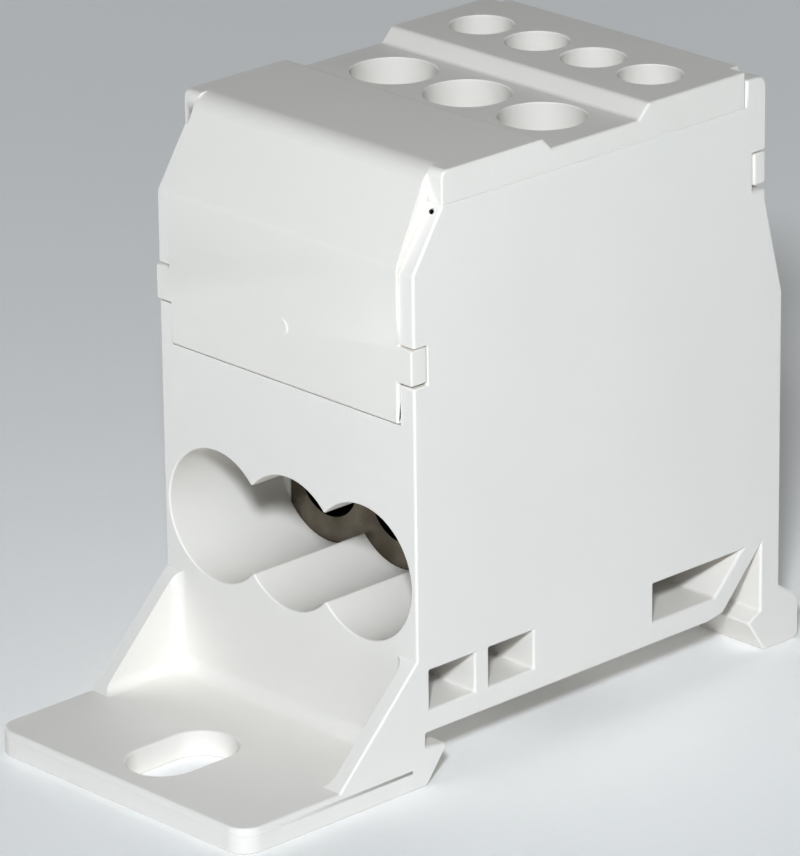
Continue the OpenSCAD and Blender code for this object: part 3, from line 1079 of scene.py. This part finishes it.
@dataclass
class ClampScrew:
    """A headless clamp screw with a cut thread.

    Attributes:
        node: the CAD node, which gives its place, length and diameter.
        pitch_mm: pitch of the thread.
        drive: the recess in its upper end.
        columns: points round the screw.
        rows: points along one pitch.
        bevel_mm: bevel at its upper end.
        point: length of its point, as a share of its diameter.
        thread: its depth, half its crest and its flank, as shares of the pitch.
        key_depth: depth of a hexagon recess, as a share of the length.
        key_bevel_mm: bevel of its rim.
        key_floor_mm: depth of its hollow floor.
        blade: half the width of a slot and its depth, as shares of the diameter.
        smooth_deg: edges that turn more than this look sharp.
    """

    node: str
    pitch_mm: float
    drive: Drive
    columns: int = 72
    rows: int = 10
    bevel_mm: float = 0.4
    point: float = 0.18
    thread: Triple = (0.6, 0.06, 0.31)
    key_depth: float = 0.42
    key_bevel_mm: float = 0.08
    key_floor_mm: float = 0.2
    blade: Pair = (0.1, 0.4)
    smooth_deg: float = 34.0

    def build(self, material: Material) -> None:
        """Builds and dresses the screw.

        Args:
            material: the screw's plating.
        """
        low, high = (np.array(corner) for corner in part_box(self.node))
        diameter = float(high[0] - low[0])
        length = float(high[2] - low[2])
        centre = np.array([(low[0] + high[0]) / 2, (low[1] + high[1]) / 2, low[2]])
        mesh = grid_mesh(self.node + "_thread", self.surface(diameter, length) + centre,
                         closed=True)
        shade_smooth(mesh)
        mesh.set_sharp_from_angle(angle=math.radians(self.smooth_deg))
        piece = link_object(mesh.name, mesh)
        if self.drive is Drive.SLOT:
            self.cut_slot(piece, centre + (0, 0, length), diameter)
        declare(piece, material, self.node, "screw_steel", self.node)

    def surface(self, diameter: float, length: float) -> Array:
        """Works out the screw's surface by turning a profile that follows the thread.

        The thread's radius is the outer radius less its depth times a wave that is 0 on
        the crest and 1 in the root. The wave's phase is the height over the pitch less
        the angle over a full turn. The point and the bevel cap the radius at the ends,
        where the thread so runs out.

        Args:
            diameter: outer diameter.
            length: length, point included.

        Returns:
            Array of rows by columns by three coordinates, from the point to the recess.
        """
        pitch, bevel = self.pitch_mm * MM, self.bevel_mm * MM
        point, crest = self.point * diameter, diameter / 2
        depth, crest_half, flank = self.thread
        angle = np.arange(self.columns) * 2 * np.pi / self.columns
        z = np.linspace(0, length, int(round(length / pitch * self.rows)))[:, None]
        phase = np.mod(z / pitch - angle / (2 * np.pi), 1.0)
        wave = np.clip((np.abs(phase - 0.5) - crest_half) / flank, 0.0, 1.0)
        radius = crest - depth * pitch * wave
        cap = np.minimum(crest - point + z, crest - bevel + (length - z))
        radius = np.minimum(radius, np.minimum(cap, crest))
        shank = self.ring(radius, angle, np.broadcast_to(z, radius.shape))
        if self.drive is Drive.SLOT:
            return shank
        key = crest / 2 / np.cos(np.mod(angle, np.pi / 3) - np.pi / 6)
        bevel, floor = self.key_bevel_mm * MM, length - self.key_depth * length
        rows = [(key + bevel, length), (key, length - bevel), (key, floor),
                (key * 0.05, floor - self.key_floor_mm * MM)]
        recess = [self.ring(r, angle, np.full_like(angle, level)) for r, level in rows]
        return np.concatenate([shank, np.stack(recess)])

    @staticmethod
    def ring(radius: Array, angle: Array, height: Array) -> Array:
        """Turns radius, angle and height into coordinates."""
        across, along = radius * np.cos(angle), radius * np.sin(angle)
        return np.stack([across, along, height], axis=-1)

    def cut_slot(self, piece: Object, top: Array, diameter: float) -> None:
        """Cuts the blade's slot across the upper end.

        Args:
            piece: the screw, changed in place.
            top: middle of its upper end.
            diameter: the screw's diameter.
        """
        half = np.array([1.0, *self.blade]) * diameter
        signs = np.array([(x, y, z) for z in (-1, 1) for y in (-1, 1) for x in (-1, 1)])
        mesh = bpy.data.meshes.new("blade")
        mesh.from_pydata(top + signs * half, [],
                         [(0, 2, 3, 1), (4, 5, 7, 6), (0, 1, 5, 4), (2, 6, 7, 3),
                          (0, 4, 6, 2), (1, 3, 7, 5)])
        subtract(piece, link_object("blade", mesh))
        piece.data.set_sharp_from_angle(angle=math.radians(self.smooth_deg))


# ---- studio


@dataclass(frozen=True)
class Softbox:
    """A lamp with a cloth front, aimed at the middle of the block.

    Attributes:
        name: its name.
        azimuth_deg: where it stands, 0 in front of the foot, 90 on the right.
        elevation_deg: how high it stands.
        distance: distance in metres.
        size: diameter in metres.
        power: watts.
        colour: its colour.
    """

    name: str
    azimuth_deg: float
    elevation_deg: float
    distance: float
    size: float
    power: float
    colour: Triple


def direction(azimuth_deg: float, elevation_deg: float) -> Vector:
    """Gives the direction out of the block, 0 in front of the foot, 90 on the right."""
    azimuth, elevation = math.radians(azimuth_deg), math.radians(elevation_deg)
    return Vector((math.sin(azimuth) * math.cos(elevation),
                   -math.cos(azimuth) * math.cos(elevation), math.sin(elevation)))


@dataclass
class Studio:
    """Camera, lamps, surroundings and floor.

    Attributes:
        aim: the point that the camera and the lamps look at.
        azimuth_deg: where the camera stands.
        elevation_deg: how high it stands.
        roll_deg: its tilt.
        distance: its distance in metres.
        lens_mm: its focal length.
        frame_mm: width of its frame.
        lamps: the lamps.
        surroundings: strength of the even light from all sides.
        sky: colour of that light.
        contrast: how much more contrast the camera gives than plain tones.
        paper: what the floor is made of.
        floor_half: half of the floor's side in metres.
    """

    aim: Vector = field(default_factory=lambda: Vector((8.844, 3.2, 26.274)) * MM)
    azimuth_deg: float = 46.513
    elevation_deg: float = 20.819
    roll_deg: float = -0.715
    distance: float = 0.46657
    lens_mm: float = 269.08
    frame_mm: float = 36.0
    lamps: tuple[Softbox, ...] = (
        Softbox("key_light", 44.0, 30.0, 0.5, 0.05, 2.2, (0.88, 0.935, 0.985)),
        Softbox("overhead", 44.0, 66.0, 0.2, 0.12, 0.036, (1.0, 0.92, 0.83)),
        Softbox("left_fill", 5.0, 35.0, 0.4, 0.2, 0.02, (0.6, 0.8, 1.0)),
        Softbox("right_fill", 100.0, 6.0, 0.4, 0.2, 0.03, (0.6, 0.88, 1.0)),
        Softbox("side_fill", 265.0, 6.0, 0.5, 0.12, 0.6, (0.95, 0.98, 1.0)),
        Softbox("rear_fill", 187.0, 6.0, 0.5, 0.12, 0.6, (0.95, 0.98, 1.0)),
    )
    surroundings: float = 0.07
    sky: tuple[float, float, float, float] = (0.9, 0.96, 1.0, 1.0)
    contrast: float = 1.2
    paper: StudioPaper = StudioPaper("studio_paper")
    floor_half: float = 1.5

    def stand(self, thing: bpy.types.ID, azimuth_deg: float, elevation_deg: float,
              distance: float, roll_deg: float = 0.0) -> Object:
        """Stands a camera or a lamp in its place, aimed at the block.

        Args:
            thing: the camera or the lamp.
            azimuth_deg: where it stands.
            elevation_deg: how high it stands.
            distance: its distance in metres.
            roll_deg: its tilt.

        Returns:
            Its object, with the thing's name.
        """
        stood = bpy.data.objects.new(thing.name, thing)
        bpy.context.scene.collection.objects.link(stood)
        back = direction(azimuth_deg, elevation_deg)
        stood.location = self.aim + back * distance
        stood.rotation_mode = "QUATERNION"
        stood.rotation_quaternion = (back.to_track_quat("Z", "Y")
                                     @ Quaternion((0, 0, 1), math.radians(roll_deg)))
        return stood

    def camera(self) -> None:
        """Places the camera and looks through it."""
        lens = bpy.data.cameras.new("camera")
        lens.lens = self.lens_mm
        lens.sensor_width = self.frame_mm
        lens.clip_start = 0.01
        bpy.context.scene.camera = self.stand(
            lens, self.azimuth_deg, self.elevation_deg, self.distance, self.roll_deg)

    def light(self) -> None:
        """Places the lamps."""
        for box in self.lamps:
            lamp = bpy.data.lights.new(box.name, "AREA")
            lamp.shape = "DISK"
            lamp.size = box.size
            lamp.energy = box.power
            lamp.color = box.colour
            self.stand(lamp, box.azimuth_deg, box.elevation_deg, box.distance)

    def room(self) -> None:
        """Lights the surroundings evenly and sets the camera's tones."""
        world = bpy.data.worlds.new("studio")
        world.use_nodes = True
        sky = world.node_tree.nodes["Background"]
        sky.inputs["Color"].default_value = self.sky
        sky.inputs["Strength"].default_value = self.surroundings
        bpy.context.scene.world = world
        tones = bpy.context.scene.view_settings
        tones.view_transform = "Standard"
        tones.gamma = 1 / self.contrast

    def floor(self) -> None:
        """Lays the floor."""
        side = np.array([-1.0, 1.0]) * self.floor_half
        x, y = np.meshgrid(side, side)
        mesh = grid_mesh("floor", np.dstack([x, y, np.zeros_like(x)]), closed=False)
        mesh.materials.append(self.paper.build())
        link_object("floor", mesh)

    def build(self) -> None:
        """Sets up the whole studio."""
        self.camera()
        self.light()
        self.room()
        self.floor()


# ---- all together


# Edges are rounded less along close joints, at small openings, and where two
# roundings that meet have to be equally wide.
JOINT = CrispZone((0, 2.5, 44.5), (14, 36, 44.7), 0.07)
BASE_ZONES = (
    JOINT,
    CrispZone((12.2, -1, 22), (12.3, 3.2, 45), 0.1),  # slots beside the front panel
    CrispZone((12.0, -1, 31.2), (14, 1.6, 34.5), 0.12),  # notches for the lugs
    CrispZone((0, -1, 28.1), (12.4, 0.1, 28.3), 0.08),  # step below the front panel
    CrispZone((0, -1, 10), (13.2, 0.1, 21), 0.15),  # mouths of the cable entries
)
COVER_ZONES = (
    JOINT,
    CrispZone((0, 14, 46), (12, 33, 48), 0.12),  # rims of the driver holes
    CrispZone((12.1, -1, 28.2), (14, 3.1, 47.3), 0.16),  # sides of the panel, and lugs
    CrispZone((0, -1, 28.2), (12.4, 1.6, 28.6), 0.16),  # lower edge of the panel
)
BASE_PLASTIC = MouldedPolyamide("polyamide_66_light_grey", "#F5F1EC", "#F2EFEA")
COVER_PLASTIC = MouldedPolyamide("polyamide_66_pale_grey", "#F5F1EB", "#F2EEE8")
LINE_PITCH_MM, LOAD_PITCH_MM = 1.0, 0.7


def main() -> None:
    """Builds every piece and the studio round them."""
    logging.basicConfig(level=logging.INFO, format="%(message)s")
    Studio().build()
    base = Base("base_housing", "housing_plastic", BASE_PLASTIC,
                EdgeEasing(zones=BASE_ZONES)).build()
    Cover("cover", "cover_plastic", COVER_PLASTIC,
          EdgeEasing(zones=COVER_ZONES)).build()
    FootSeam().build(base.data.materials[0])
    ConductorBar().build()
    zinc = ZINC_STEEL.build()
    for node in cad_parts:
        if node.startswith("line_screw"):
            ClampScrew(node, LINE_PITCH_MM, Drive.HEXAGON).build(zinc)
        elif node.startswith("load_screw"):
            ClampScrew(node, LOAD_PITCH_MM, Drive.SLOT).build(zinc)


if __name__ == "__main__":
    main()
